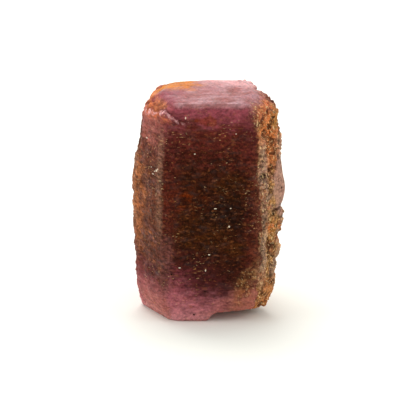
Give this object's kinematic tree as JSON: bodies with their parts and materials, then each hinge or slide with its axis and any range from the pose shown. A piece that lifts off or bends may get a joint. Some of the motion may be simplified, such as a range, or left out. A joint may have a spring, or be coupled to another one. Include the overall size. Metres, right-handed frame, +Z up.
{
  "type": "ruby crystal",
  "caption": "Rough six-sided barrel crystal of opaque to translucent ruby, standing on its broken lower end, with a flat end face on top and a pitted rind on one side.",
  "frame": {"origin": "on the surface that the crystal stands on, under the middle of its outline", "axes": "+Z up along the crystal's long axis, -Y towards the broad smooth prism face, +X towards the pitted rind"},
  "size_m": [0.015, 0.0122, 0.0226],
  "materials": {
    "ruby": "rough natural crystal, slightly translucent, dull to waxy"
  },
  "bodies": {
    "root": {"ruby": "ruby"}
  },
  "joints": []
}
